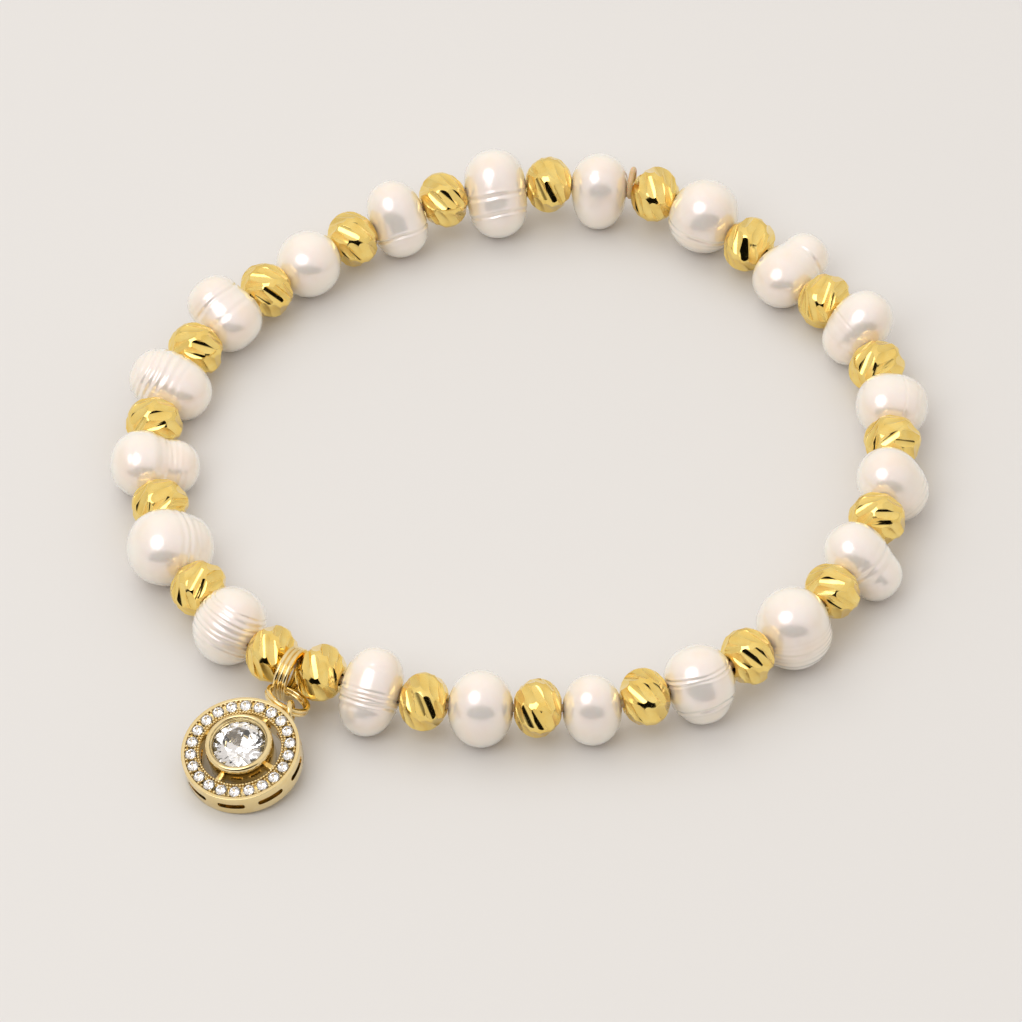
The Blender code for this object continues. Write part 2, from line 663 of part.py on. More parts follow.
def main():
    for item in list(bpy.data.objects):
        bpy.data.objects.remove(item)
    nacre = material("Nacre", (0.83, 0.77, 0.72), 0.22, 0.0)
    gold = material("Polished gold plate", (0.86, 0.66, 0.30), 0.18, 1.0)
    elastic = material("Clear elastic", (0.80, 0.70, 0.52), 0.35, 0.0)
    brilliant = material("Cut stone", (0.93, 0.94, 0.96), 0.05, 0.0)

    root = bpy.data.objects.new("bracelet", None)
    bpy.context.scene.collection.objects.link(root)
    beads, length = strung_beads()
    joints, stations = string_joints(beads, length)
    add_beads(beads, joints, stations, nacre, gold, root)
    add_elastic(joints, elastic, root)

    knot_joint = 2 * KNOT_AFTER_PEARL
    knot_direction = (joints[knot_joint + 1] - joints[knot_joint - 1]).normalized()
    add_knot(joints[knot_joint], knot_direction, elastic, root)

    direction = (joints[1] - joints[-1]).normalized()
    bail_height = charm_face_height() + (charm_turn() @ bail_place()).z
    link_end = add_rings(joints[0], direction, bail_height, gold, root)
    add_charm(link_end, gold, brilliant, root)
    stand_on_origin(root)


main()
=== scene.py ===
# %% [markdown]
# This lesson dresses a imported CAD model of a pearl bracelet. The CAD model gives every bead's place and
# size, and this script gives each bead its real surface: layered nacre with growth rings, milled gold,
# and a charm set with cut stones. We load the model first, so that everything can be measured from it.

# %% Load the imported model
import math
from collections import namedtuple

import bmesh
import bpy
import numpy as np
from mathutils import Matrix, Vector, noise


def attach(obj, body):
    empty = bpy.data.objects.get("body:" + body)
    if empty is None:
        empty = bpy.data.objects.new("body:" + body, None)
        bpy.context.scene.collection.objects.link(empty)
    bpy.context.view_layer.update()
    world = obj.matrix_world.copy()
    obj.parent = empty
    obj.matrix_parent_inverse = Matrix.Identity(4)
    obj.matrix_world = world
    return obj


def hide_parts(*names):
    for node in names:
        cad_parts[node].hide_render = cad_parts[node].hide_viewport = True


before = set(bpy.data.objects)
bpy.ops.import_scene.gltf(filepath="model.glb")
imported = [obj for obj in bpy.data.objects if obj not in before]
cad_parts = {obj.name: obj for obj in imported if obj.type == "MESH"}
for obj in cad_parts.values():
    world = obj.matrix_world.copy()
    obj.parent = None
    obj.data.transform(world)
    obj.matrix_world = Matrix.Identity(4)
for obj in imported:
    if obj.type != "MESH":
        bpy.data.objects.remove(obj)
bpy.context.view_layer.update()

MM = 0.001
UP = Vector((0.0, 0.0, 1.0))
print("CAD pieces:", len(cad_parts))

# %% [markdown]
# A product photograph is taken from far away with a long lens, so that the near beads look no larger than
# the far ones. The camera looks down at the bracelet at 46.5 degrees, from 750 mm away.

# %% Camera
CAMERA_ELEVATION = math.radians(46.5)
CAMERA_DISTANCE = 750.0 * MM
CAMERA_AIM = Vector((-0.8, -1.75, 0.0)) * MM
LENS_MM = 308.6
SENSOR_MM = 36.0

towards_camera = Vector((0.0, -math.cos(CAMERA_ELEVATION), math.sin(CAMERA_ELEVATION)))
camera_data = bpy.data.cameras.new("camera")
camera_data.lens = LENS_MM
camera_data.sensor_width = SENSOR_MM
camera = bpy.data.objects.new("camera", camera_data)
bpy.context.scene.collection.objects.link(camera)
camera.location = CAMERA_AIM + towards_camera * CAMERA_DISTANCE
camera.rotation_euler = towards_camera.to_track_quat("Z", "Y").to_euler()
bpy.context.scene.camera = camera
print("Camera at", [round(value, 4) for value in camera.location])

# %% [markdown]
# Every piece below is made in the same way: a bmesh is shaped by operators, then turned into a mesh whose
# faces point outwards. A curved face is shaded smooth and an edge sharper than a given angle stays crisp,
# which is what tells a round pearl from a milled facet.

# %% Helpers for meshes
def shaped_mesh(bm, name, sharp_angle=35.0):
    """Turn a bmesh into a mesh with outward faces, smooth apart from its sharp edges."""
    bmesh.ops.recalc_face_normals(bm, faces=bm.faces[:])
    mesh = bpy.data.meshes.new(name)
    bm.to_mesh(mesh)
    bm.free()
    mesh.shade_smooth()
    mesh.set_sharp_from_angle(angle=math.radians(sharp_angle))
    return mesh


def turned(profile, sides, closed):
    """Spin points (radius, height) round Z, as on a lathe. A closed profile makes a ring."""
    bm = bmesh.new()
    verts = [bm.verts.new((radius, 0.0, height)) for radius, height in profile]
    pairs = list(zip(verts, verts[1:]))
    if closed:
        pairs.append((verts[-1], verts[0]))
    edges = [bm.edges.new(pair) for pair in pairs]
    bmesh.ops.spin(bm, geom=verts + edges, cent=(0, 0, 0), axis=UP, angle=math.tau,
                   steps=sides, use_merge=True)
    bmesh.ops.remove_doubles(bm, verts=bm.verts[:], dist=1e-7)
    return bm


def softened(bm, width, segments=2):
    """Round every edge that is sharper than 30 degrees."""
    bm.normal_update()
    sharp = [edge for edge in bm.edges if edge.is_manifold and edge.calc_face_angle() > math.radians(30)]
    bmesh.ops.bevel(bm, geom=sharp, offset=width, offset_type="OFFSET", segments=segments,
                    profile=0.5, affect="EDGES", material=-1, clamp_overlap=True)
    return bm


def cut(mesh, tool_mesh, sharp_angle=35.0):
    """Cut one mesh with another, and give the finished mesh."""
    blank = bpy.data.objects.new("blank", mesh)
    tool = bpy.data.objects.new("tool", tool_mesh)
    for item in (blank, tool):
        bpy.context.scene.collection.objects.link(item)
    boolean = blank.modifiers.new("cut", "BOOLEAN")
    boolean.operation = "DIFFERENCE"
    boolean.object = tool
    boolean.solver = "EXACT"
    bpy.context.view_layer.update()
    evaluated = blank.evaluated_get(bpy.context.evaluated_depsgraph_get())
    result = bpy.data.meshes.new_from_object(evaluated)
    for item in (blank, tool):
        bpy.data.objects.remove(item)
    result.shade_smooth()
    result.set_sharp_from_angle(angle=math.radians(sharp_angle))
    return result


def axes_matrix(x_axis, y_axis, z_axis, place):
    """A matrix with the given axes and place."""
    turn = Matrix((x_axis, y_axis, z_axis)).transposed()
    return Matrix.Translation(place) @ turn.to_4x4()


def finished(name, mesh, surface, slot, *nodes):
    """One finished piece with its material, in place of the CAD nodes that it stands for. The slot is not
    used.
    """
    mesh.name = name
    mesh.materials.clear()
    mesh.materials.append(surface)
    piece = bpy.data.objects.new(name, mesh)
    bpy.context.scene.collection.objects.link(piece)
    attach(piece, "root")
    if nodes:
        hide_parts(*nodes)


print("Mesh helpers are ready")

# %% [markdown]
# Colours are written as the hex values that a picture shows. Blender works with linear light, so one
# function turns hex into linear values. One more function adds a shader node with its settings and links.

# %% Helpers for materials
def colour(code):
    """Linear RGBA from an sRGB hex code."""
    values = []
    for start in (0, 2, 4):
        share = int(code[start:start + 2], 16) / 255
        values.append(share / 12.92 if share <= 0.04045 else ((share + 0.055) / 1.055) ** 2.4)
    return (*values, 1.0)


def add_node(tree, kind, settings=None, inputs=None):
    """Add a node, set its options, and set or link its inputs."""
    node = tree.nodes.new(kind)
    for key, value in (settings or {}).items():
        setattr(node, key, value)
    for key, value in (inputs or {}).items():
        if isinstance(value, bpy.types.NodeSocket):
            tree.links.new(value, node.inputs[key])
        else:
            node.inputs[key].default_value = value
    return node


def new_material(name):
    """A material with an empty Principled shader. Gives the material, its tree and the shader."""
    material = bpy.data.materials.new(name)
    material.use_nodes = True
    tree = material.node_tree
    return material, tree, tree.nodes["Principled BSDF"]


print("Material helpers are ready")

# %% [markdown]
# Nacre is thin layers of aragonite. Light sinks a little way in and comes back milky, while the top layer
# mirrors the lamp softly. The layers are about as thick as a wave of light, which gives faint rose and
# green tints. So the shader has a little light under the surface, a small metallic share for the deep
# lustre, a smooth coat and a thin film. Slow noise, 3 mm across, changes the cream body colour. The steps
# between real layers are far too fine to show, so finer noise, 0.5 mm across, stands for them and makes the
# surface uneven.

# %% Nacre
NACRE_CLOUDS = 3.03 * MM
NACRE_GRAIN = 0.5 * MM

nacre, tree, shader = new_material("Nacre of freshwater pearl")
coordinates = add_node(tree, "ShaderNodeTexCoord").outputs["Object"]
clouds = add_node(tree, "ShaderNodeTexNoise",
                  inputs={"Vector": coordinates, "Scale": 1 / NACRE_CLOUDS, "Detail": 2.0,
                          "Roughness": 0.5})
tints = add_node(tree, "ShaderNodeValToRGB", inputs={"Fac": clouds.outputs["Fac"]})
ramp = tints.color_ramp
ramp.elements[0].position = 0.32
ramp.elements[0].color = colour("FEF5ED")
ramp.elements[1].position = 0.68
ramp.elements[1].color = colour("FFFEFC")
middle = ramp.elements.new(0.5)
middle.color = colour("FFFBF8")
tree.links.new(tints.outputs["Color"], shader.inputs["Base Color"])
grain = add_node(tree, "ShaderNodeTexNoise",
                 inputs={"Vector": coordinates, "Scale": 1 / NACRE_GRAIN, "Detail": 3.0,
                         "Roughness": 0.55})
bump = add_node(tree, "ShaderNodeBump",
                inputs={"Height": grain.outputs["Fac"], "Strength": 0.06, "Distance": 0.0001})
tree.links.new(bump.outputs["Normal"], shader.inputs["Normal"])
shader.inputs["Metallic"].default_value = 0.22
shader.inputs["Roughness"].default_value = 0.22
shader.inputs["IOR"].default_value = 1.7
shader.inputs["Subsurface Weight"].default_value = 0.25
shader.inputs["Subsurface Radius"].default_value = (1.0, 0.8, 0.65)
shader.inputs["Subsurface Scale"].default_value = 0.0007
shader.inputs["Coat Weight"].default_value = 1.0
shader.inputs["Coat Roughness"].default_value = 0.15
shader.inputs["Coat IOR"].default_value = 1.75
shader.inputs["Coat Tint"].default_value = colour("FFFBF7")
shader.inputs["Thin Film Thickness"].default_value = 330.0
shader.inputs["Thin Film IOR"].default_value = 1.2
print("Material:", nacre.name)

# %% [markdown]
# The beads are brass with a thin plate of 18 carat gold. A round cutter mills each facet, so a facet is as
# bright as a mirror. The colour of a metal is its base colour, and the darkest parts that the eye sees are
# reflections. Noise about 1 mm across changes the colour and the polish of the thin plate a little.

# %% Milled gold plate
PLATE_CLOUDS = 1.11 * MM

milled_gold, tree, shader = new_material("Milled yellow gold plate")
coordinates = add_node(tree, "ShaderNodeTexCoord").outputs["Object"]
wear = add_node(tree, "ShaderNodeTexNoise",
                inputs={"Vector": coordinates, "Scale": 1 / PLATE_CLOUDS, "Detail": 3.0,
                        "Roughness": 0.6})
tints = add_node(tree, "ShaderNodeValToRGB", inputs={"Fac": wear.outputs["Fac"]})
tints.color_ramp.elements[0].position = 0.3
tints.color_ramp.elements[0].color = colour("FBD878")
tints.color_ramp.elements[1].position = 0.7
tints.color_ramp.elements[1].color = colour("FFE692")
tree.links.new(tints.outputs["Color"], shader.inputs["Base Color"])
dullness = add_node(tree, "ShaderNodeMapRange",
                    inputs={"Value": wear.outputs["Fac"], "From Min": 0.3, "From Max": 0.7,
                            "To Min": 0.06, "To Max": 0.14})
tree.links.new(dullness.outputs["Result"], shader.inputs["Roughness"])
shader.inputs["Metallic"].default_value = 1.0
print("Material:", milled_gold.name)

# %% [markdown]
# The charm and the rings are cast, tumbled and plated in a paler gold. Tumbling leaves a surface that is
# smooth but slightly uneven, so its reflections are softer than those of the milled beads. Noise about
# 1.4 mm across gives the unevenness.

# %% Cast gold plate
TUMBLED_WAVES = 1.43 * MM

cast_gold, tree, shader = new_material("Tumbled pale gold plate")
coordinates = add_node(tree, "ShaderNodeTexCoord").outputs["Object"]
wear = add_node(tree, "ShaderNodeTexNoise",
                inputs={"Vector": coordinates, "Scale": 1 / TUMBLED_WAVES, "Detail": 4.0,
                        "Roughness": 0.6})
tints = add_node(tree, "ShaderNodeValToRGB", inputs={"Fac": wear.outputs["Fac"]})
tints.color_ramp.elements[0].position = 0.3
tints.color_ramp.elements[0].color = colour("F4DC9F")
tints.color_ramp.elements[1].position = 0.7
tints.color_ramp.elements[1].color = colour("FBE8B8")
tree.links.new(tints.outputs["Color"], shader.inputs["Base Color"])
bump = add_node(tree, "ShaderNodeBump",
                inputs={"Height": wear.outputs["Fac"], "Strength": 0.08, "Distance": 0.0001})
tree.links.new(bump.outputs["Normal"], shader.inputs["Normal"])
shader.inputs["Metallic"].default_value = 1.0
shader.inputs["Roughness"].default_value = 0.13
print("Material:", cast_gold.name)

# %% [markdown]
# The stones are cubic zirconia, a clear crystal that bends light almost as much as diamond. It has hardly
# any colour of its own, only very faint bands about 1.7 mm wide from its growth: its flat facets and a high
# index of refraction do all the work. The elastic is an extruded polyurethane cord, a pale brown plastic
# with a slight haze that changes over about 0.7 mm.

# %% Cubic zirconia and elastic
GROWTH_BAND = 1.67 * MM
HAZE_SIZE = 0.667 * MM

zirconia, tree, shader = new_material("Cut cubic zirconia")
coordinates = add_node(tree, "ShaderNodeTexCoord").outputs["Object"]
growth_bands = add_node(tree, "ShaderNodeTexNoise",
                        inputs={"Vector": coordinates, "Scale": 1 / GROWTH_BAND})
tints = add_node(tree, "ShaderNodeValToRGB", inputs={"Fac": growth_bands.outputs["Fac"]})
tints.color_ramp.elements[0].color = colour("F4F5FB")
tints.color_ramp.elements[1].color = colour("FFFFFF")
tree.links.new(tints.outputs["Color"], shader.inputs["Base Color"])
shader.inputs["Roughness"].default_value = 0.0
shader.inputs["IOR"].default_value = 2.15
shader.inputs["Transmission Weight"].default_value = 1.0

elastic_cord, tree, shader = new_material("Extruded polyurethane elastic")
coordinates = add_node(tree, "ShaderNodeTexCoord").outputs["Object"]
haze = add_node(tree, "ShaderNodeTexNoise",
                inputs={"Vector": coordinates, "Scale": 1 / HAZE_SIZE})
tints = add_node(tree, "ShaderNodeValToRGB", inputs={"Fac": haze.outputs["Fac"]})
tints.color_ramp.elements[0].color = colour("C9A878")
tints.color_ramp.elements[1].color = colour("E2C79A")
tree.links.new(tints.outputs["Color"], shader.inputs["Base Color"])
shader.inputs["Roughness"].default_value = 0.3
shader.inputs["Subsurface Weight"].default_value = 0.4
shader.inputs["Subsurface Scale"].default_value = 0.0004
print("Materials:", zirconia.name, "and", elastic_cord.name)

# %% [markdown]
# The beads hang on one loop of elastic, which is straight inside each bead and bends only in the gaps. The
# CAD elastic therefore has one ring of corners in each gap. The middles of those rings are all we need to
# place every bead, so we read them from the CAD mesh, in order, starting where the charm hangs. Corners
# that lie less than 1.2 mm apart belong to the same ring.

# %% The string's joints
JOINT_REACH = 1.2 * MM


def corner_points(node):
    """The different corner points of a CAD node's mesh."""
    return [Vector(point) for point in {tuple(vert.co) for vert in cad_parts[node].data.vertices}]


def middle_of(points):
    """The mean of some points."""
    return sum(points, Vector()) / len(points)


def string_joints():
    """The middle of each ring of corners of the elastic, clockwise from the jump ring."""
    rings = []
    for corner in corner_points("elastic"):
        near = [ring for ring in rings if (ring[0] - corner).length < JOINT_REACH]
        if near:
            near[0].append(corner)
        else:
            rings.append([corner])
    joints = [middle_of(ring) for ring in rings]
    joints.sort(key=lambda point: -math.atan2(point.y, point.x))
    jump = middle_of(corner_points("jump_ring"))
    first = min(range(len(joints)), key=lambda index: (joints[index] - jump).length)
    return joints[first:] + joints[:first]


JOINTS = string_joints()
loop_length = sum((JOINTS[index] - JOINTS[index - 1]).length for index in range(len(JOINTS)))
print("Joints:", len(JOINTS), "and the loop is", round(loop_length / MM, 1), "mm long")

# %% [markdown]
# A bead's middle lies on the straight piece of string inside it, halfway between the two ends of its CAD
# mesh. These functions give that middle, the string's direction, and the level direction that points out
# of the loop.

# %% Where a bead is
def outward(direction):
    """The level direction that points out of the loop, for a clockwise string direction."""
    return Vector((-direction.y, direction.x, 0.0)).normalized()


def bead_place(node, index):
    """Middle of a bead on the string, and the string's direction there."""
    start = JOINTS[index]
    direction = (JOINTS[(index + 1) % len(JOINTS)] - start).normalized()
    reach = [(corner - start).dot(direction) for corner in corner_points(node)]
    return start + direction * (min(reach) + max(reach)) / 2, direction


place, direction = bead_place("pearl_01", 1)
print("First pearl at", [round(value / MM, 2) for value in place], "mm")

# %% [markdown]
# A freshwater pearl grows in a mussel, often as two lobes that have grown into one, with rings round its
# growth axis. It is drilled across that axis, so the axis leans at its own angle on the string. The table
# repeats the CAD model's shares: girth and length, the lean in degrees above the outward level, the
# girths of the two lobes, where they meet and overlap, and how far the hole lies from the middle.

# %% Pearl shapes
PEARL_GIRTH = 5.7 * MM
PEARL_LENGTH = 7.0 * MM
PEARL_HOLE = 1.1 * MM
LOBE_FULLNESS = 2.15
LOBE_BLEND = 9.0

Pearl = namedtuple("Pearl", "girth length lean low high meet overlap hole")
PEARLS = [
    Pearl(1.09, 0.97, 126, 0.97, 1.00, -0.10, 0.75, 0.05),
    Pearl(1.16, 1.07, 20, 0.84, 1.00, -0.30, 0.42, -0.15),
    Pearl(1.02, 1.12, 14, 0.81, 1.00, -0.12, 0.28, 0.05),
    Pearl(0.97, 1.07, 18, 1.00, 0.92, 0.25, 0.55, 0.00),
    Pearl(0.97, 1.01, 30, 1.00, 0.90, 0.05, 0.42, -0.18),
    Pearl(1.01, 0.83, 90, 1.00, 1.00, 0.00, 1.00, 0.00),
    Pearl(0.87, 1.00, 55, 0.93, 1.00, -0.35, 0.50, 0.00),
    Pearl(0.96, 1.14, 49, 0.97, 1.00, 0.00, 0.48, 0.12),
    Pearl(0.89, 0.98, 60, 1.00, 0.97, 0.25, 0.65, 0.12),
    Pearl(1.08, 0.94, 68, 0.95, 1.00, -0.20, 0.70, 0.00),
    Pearl(0.93, 1.08, 13, 1.00, 0.83, 0.20, 0.32, -0.10),
    Pearl(0.91, 1.02, 45, 0.88, 1.00, -0.20, 0.48, -0.14),
    Pearl(1.00, 0.90, -14, 1.00, 0.88, 0.30, 0.55, -0.10),
    Pearl(0.98, 0.98, 124, 0.90, 1.00, -0.30, 0.52, 0.20),
    Pearl(0.92, 1.09, 138, 0.86, 1.00, -0.22, 0.38, 0.18),
    Pearl(1.13, 1.02, 101, 0.94, 1.00, -0.30, 0.60, 0.04),
    Pearl(1.03, 0.98, 122, 0.84, 0.98, -0.30, 0.42, 0.16),
    Pearl(0.88, 0.89, 110, 1.00, 1.00, 0.00, 1.00, 0.12),
    Pearl(0.97, 0.96, 110, 1.00, 1.00, 0.00, 1.00, 0.06),
    Pearl(0.92, 1.10, 135, 0.98, 1.00, 0.00, 0.60, 0.06),
]


def lobe(place, start, end, size):
    """Radius share of one rounded lobe that runs from start to end."""
    offset = abs(2 * place - start - end) / (end - start)
    if offset >= 1.0:
        return 0.0
    return size * (1 - offset ** LOBE_FULLNESS) ** (1 / LOBE_FULLNESS)


def both_lobes(pearl, place):
    """Radius share of the two blended lobes, before it is levelled to the girth."""
    low = lobe(place, -1.0, min(1.0, pearl.meet + pearl.overlap), pearl.low)
    high = lobe(place, max(-1.0, pearl.meet - pearl.overlap), 1.0, pearl.high)
    return (low ** LOBE_BLEND + high ** LOBE_BLEND) ** (1 / LOBE_BLEND)


print("Pearls in the table:", len(PEARLS))

# %% [markdown]
# Growth rings are what makes each pearl different. Each ring in this table has its place on the growth
# axis from -1 to 1, its depth as a share of the radius, and its width in half lengths. A deep narrow ring
# looks like a crease, and many shallow ones look like a thumbprint. Smooth pearls have none.

# %% Growth rings
RINGS = {
    1: [(0.62, 0.03, 0.03), (0.49, 0.018, 0.035), (0.34, 0.034, 0.03), (0.18, 0.02, 0.04),
        (0.04, 0.038, 0.03), (-0.12, 0.028, 0.03), (-0.3, 0.036, 0.035), (-0.5, 0.016, 0.05)],
    2: [(0.02, 0.01, 0.06), (-0.14, 0.024, 0.05), (-0.33, 0.016, 0.05), (-0.5, 0.008, 0.06)],
    3: [(0.7, 0.012, 0.06), (0.0, 0.05, 0.11), (-0.16, 0.02, 0.045), (-0.27, 0.02, 0.04),
        (-0.4, 0.02, 0.045), (-0.55, 0.014, 0.05)],
    4: [(0.82, 0.03, 0.045), (0.69, 0.044, 0.045), (0.55, 0.038, 0.045), (0.4, 0.03, 0.05),
        (0.22, 0.022, 0.06), (-0.02, 0.014, 0.07), (-0.2, 0.01, 0.07)],
    5: [(0.46, 0.014, 0.05), (0.34, 0.022, 0.05), (-0.12, 0.022, 0.07)],
    7: [(-0.36, 0.055, 0.035), (-0.62, 0.01, 0.05)],
    8: [(-0.03, 0.042, 0.045), (-0.45, 0.045, 0.04)],
    9: [(0.62, 0.01, 0.07)],
    10: [(-0.31, 0.034, 0.05), (-0.5, 0.01, 0.05)],
    11: [(0.36, 0.03, 0.05), (-0.1, 0.008, 0.08)],
    12: [(0.05, 0.022, 0.03), (-0.2, 0.008, 0.06), (-0.44, 0.012, 0.05)],
    13: [(0.16, 0.014, 0.035), (0.58, 0.014, 0.05)],
    14: [(-0.1, 0.008, 0.06), (-0.28, 0.012, 0.05), (-0.42, 0.012, 0.05), (-0.58, 0.012, 0.05)],
    15: [(0.12, 0.012, 0.05), (-0.08, 0.024, 0.05), (-0.3, 0.014, 0.06), (-0.5, 0.01, 0.06)],
    16: [(0.08, 0.008, 0.04), (-0.04, 0.012, 0.04), (-0.16, 0.014, 0.04), (-0.28, 0.014, 0.04),
         (-0.42, 0.016, 0.045), (-0.58, 0.012, 0.05)],
    17: [(0.4, 0.036, 0.035), (0.3, 0.03, 0.035), (-0.46, 0.075, 0.05), (-0.75, 0.13, 0.28)],
    20: [(0.6, 0.012, 0.05), (0.04, 0.018, 0.03), (-0.06, 0.036, 0.03), (-0.15, 0.022, 0.03),
         (-0.25, 0.034, 0.035), (-0.38, 0.012, 0.05)],
}
print("Growth rings:", sum(len(rings) for rings in RINGS.values()))

# %% [markdown]
# A lathe profile spun round the growth axis gives the lobes. A real pearl is never a perfect lathe shape,
# so each point is then moved a little. Slow noise makes the body uneven by about 1 percent, mostly inwards,
# so that it stays within its CAD size. Each growth ring is deeper on one side than on the other and wanders
# a little, and beside it stands a low swelling, which makes it look grown and not cut. The pearl's number
# moves the noise on, so that no two pearls are alike. Last, the hole is drilled across the pearl.

# %% Make the pearls
PEARL_SIDES = 64
PEARL_SECTIONS = 140
RING_STRENGTH = 0.64
RING_CHANGE = 0.85
RING_WANDER = 0.06
SWELLING = 0.35
SWELLING_PLACE = 1.7
UNEVENNESS = 0.012
UNEVENNESS_SIZE = 3.2 * MM
SHRINK = 0.7


def ring_depth(number, place, angle):
    """How far the growth rings of one pearl press in at a place and angle, as a share of the radius."""
    depth = 0.0
    for order, (centre, deep, width) in enumerate(RINGS.get(number, [])):
        wander = noise.noise(Vector((math.cos(angle), math.sin(angle), 7.3 * number + order)))
        offset = (place - centre - RING_WANDER * wander) / width
        swell = noise.noise(Vector((math.cos(angle), math.sin(angle), 3.1 * order - number)))
        strength = RING_STRENGTH + RING_CHANGE * swell
        beside = SWELLING * math.exp(-(abs(offset) - SWELLING_PLACE) ** 2)
        depth += deep * strength * (math.exp(-offset ** 2) - beside)
    return depth


def pearl_mesh(number, pearl):
    """One pearl along Z, with its drilled hole along X through the origin."""
    half_length = pearl.length * PEARL_LENGTH / 2
    places = [-math.cos(math.pi * section / PEARL_SECTIONS) for section in range(PEARL_SECTIONS + 1)]
    widest = max(both_lobes(pearl, place) for place in places)
    profile = []
    for place in places:
        radius = both_lobes(pearl, place) / widest * pearl.girth * PEARL_GIRTH / 2
        profile.append((radius if abs(place) < 1.0 else 0.0, (place - pearl.hole) * half_length))
    bm = turned(profile, PEARL_SIDES, closed=False)
    for vert in bm.verts:
        place = vert.co.z / half_length + pearl.hole
        press = ring_depth(number, place, math.atan2(vert.co.y, vert.co.x))
        vert.co.x *= 1 - press
        vert.co.y *= 1 - press
        slow = noise.noise(vert.co / UNEVENNESS_SIZE + Vector((0.0, 0.0, 9.7 * number)))
        vert.co *= 1 + UNEVENNESS * (slow - SHRINK)
    body = shaped_mesh(bm, "pearl", sharp_angle=80.0)
    drill = bmesh.new()
    bmesh.ops.create_cone(drill, cap_ends=True, segments=24, radius1=PEARL_HOLE / 2,
                          radius2=PEARL_HOLE / 2, depth=2 * PEARL_GIRTH,
                          matrix=Matrix.Rotation(math.pi / 2, 4, "Y"))
    return cut(body, shaped_mesh(drill, "drill"), sharp_angle=60.0)


for number, pearl in enumerate(PEARLS, start=1):
    node = f"pearl_{number:02d}"
    place, direction = bead_place(node, 2 * number - 1)
    lean = math.radians(pearl.lean)
    growth = outward(direction) * math.cos(lean) + UP * math.sin(lean)
    growth = (growth - direction * growth.dot(direction)).normalized()
    mesh = pearl_mesh(number, pearl)
    mesh.transform(axes_matrix(direction, growth.cross(direction), growth, place))
    finished(f"nacre_pearl_{number:02d}", mesh, nacre, "pearl", node)
print("Pearls made:", len(PEARLS), "with", len(mesh.polygons), "faces on the last one")

# %% [markdown]
# A gold bead starts as a flattened ball with a drilled hole. A round cutter then mills five rows of slanted
# grooves all over it. A groove is about 2.2 mm long and 1.2 mm wide, like a grain of rice, and a little
# smaller in the outer rows. They sit so close that they meet in sharp ridges, and hardly any of the ball is
# left. Each groove is one Boolean cut with a rod. The bead is made once and copied, because all the beads
# come from one machine. Each copy is rolled on the string, so that no two next to each other shine alike.

# %% Make the gold bead
GOLD_DIAMETER = 5.0 * MM
GOLD_LENGTH = 3.93 * MM
GOLD_SEAT = 1.8 * MM
GOLD_HOLE = 1.1 * MM
GOLD_DISH = 0.14 * MM
GOLD_SECTIONS = 24
GOLD_SIDES = 72
GOLD_ROLL = math.radians(137.5)
CUTTER_RADIUS = 0.85 * MM
CUTTER_LENGTH = 3.4 * MM
CUT_DEPTHS = [0.18 * MM, 0.26 * MM, 0.26 * MM, 0.26 * MM, 0.18 * MM]
CUT_SLANT = math.radians(120.0)
CUTS_AROUND = 7
CUT_SHIFT = 0.1
CUT_LATITUDES = [-49.0, -24.5, 0.0, 24.5, 49.0]


def bead_blank():
    """The flattened ball, drilled along Z and dished at both ends, and half its length if it were whole."""
    half_axis = GOLD_LENGTH / 2 / math.sqrt(1 - (GOLD_SEAT / GOLD_DIAMETER) ** 2)
    seat = math.asin(GOLD_SEAT / GOLD_DIAMETER)
    profile = []
    for section in range(GOLD_SECTIONS + 1):
        angle = seat + (math.pi - 2 * seat) * section / GOLD_SECTIONS
        profile.append((GOLD_DIAMETER / 2 * math.sin(angle), half_axis * math.cos(angle)))
    dish = GOLD_LENGTH / 2 - GOLD_DISH
    profile.extend([(GOLD_HOLE / 2, -dish), (GOLD_HOLE / 2, dish)])
    return shaped_mesh(turned(profile, GOLD_SIDES, closed=True), "bead"), half_axis


def cutter(latitude, azimuth, depth, half_axis):
    """A rod that lies slantwise on the bead at one latitude and azimuth."""
    level = Vector((math.cos(azimuth), math.sin(azimuth), 0.0)) * math.cos(latitude)
    point = level * GOLD_DIAMETER / 2 + UP * half_axis * math.sin(latitude)
    normal = (level / (GOLD_DIAMETER / 2) + UP * math.sin(latitude) / half_axis).normalized()
    along = Matrix.Rotation(CUT_SLANT, 3, normal) @ (UP - normal * normal.z).normalized()
    centre = point + normal * (CUTTER_RADIUS - depth)
    bm = bmesh.new()
    bmesh.ops.create_cone(bm, cap_ends=True, segments=32, radius1=CUTTER_RADIUS,
                          radius2=CUTTER_RADIUS, depth=CUTTER_LENGTH,
                          matrix=axes_matrix(normal, along.cross(normal), along, centre))
    return shaped_mesh(bm, "cutter")


gold_bead, half_axis = bead_blank()
for row, (degrees, depth) in enumerate(zip(CUT_LATITUDES, CUT_DEPTHS)):
    for step in range(CUTS_AROUND):
        azimuth = math.tau * (step + CUT_SHIFT * row) / CUTS_AROUND
        rod = cutter(math.radians(degrees), azimuth, depth, half_axis)
        gold_bead = cut(gold_bead, rod, sharp_angle=22.0)

for number in range(1, len(PEARLS) + 2):
    index = 2 * number - 2
    node = f"gold_bead_{number:02d}"
    place, direction = bead_place(node, index)
    side = outward(direction)
    roll = Matrix.Rotation(GOLD_ROLL * index, 4, "Z")
    mesh = gold_bead.copy()
    mesh.transform(axes_matrix(side, direction.cross(side), direction, place) @ roll)
    finished(f"milled_bead_{number:02d}", mesh, milled_gold, "gold", node)
print("Gold beads made:", len(PEARLS) + 1, "with", len(gold_bead.polygons), "faces each")

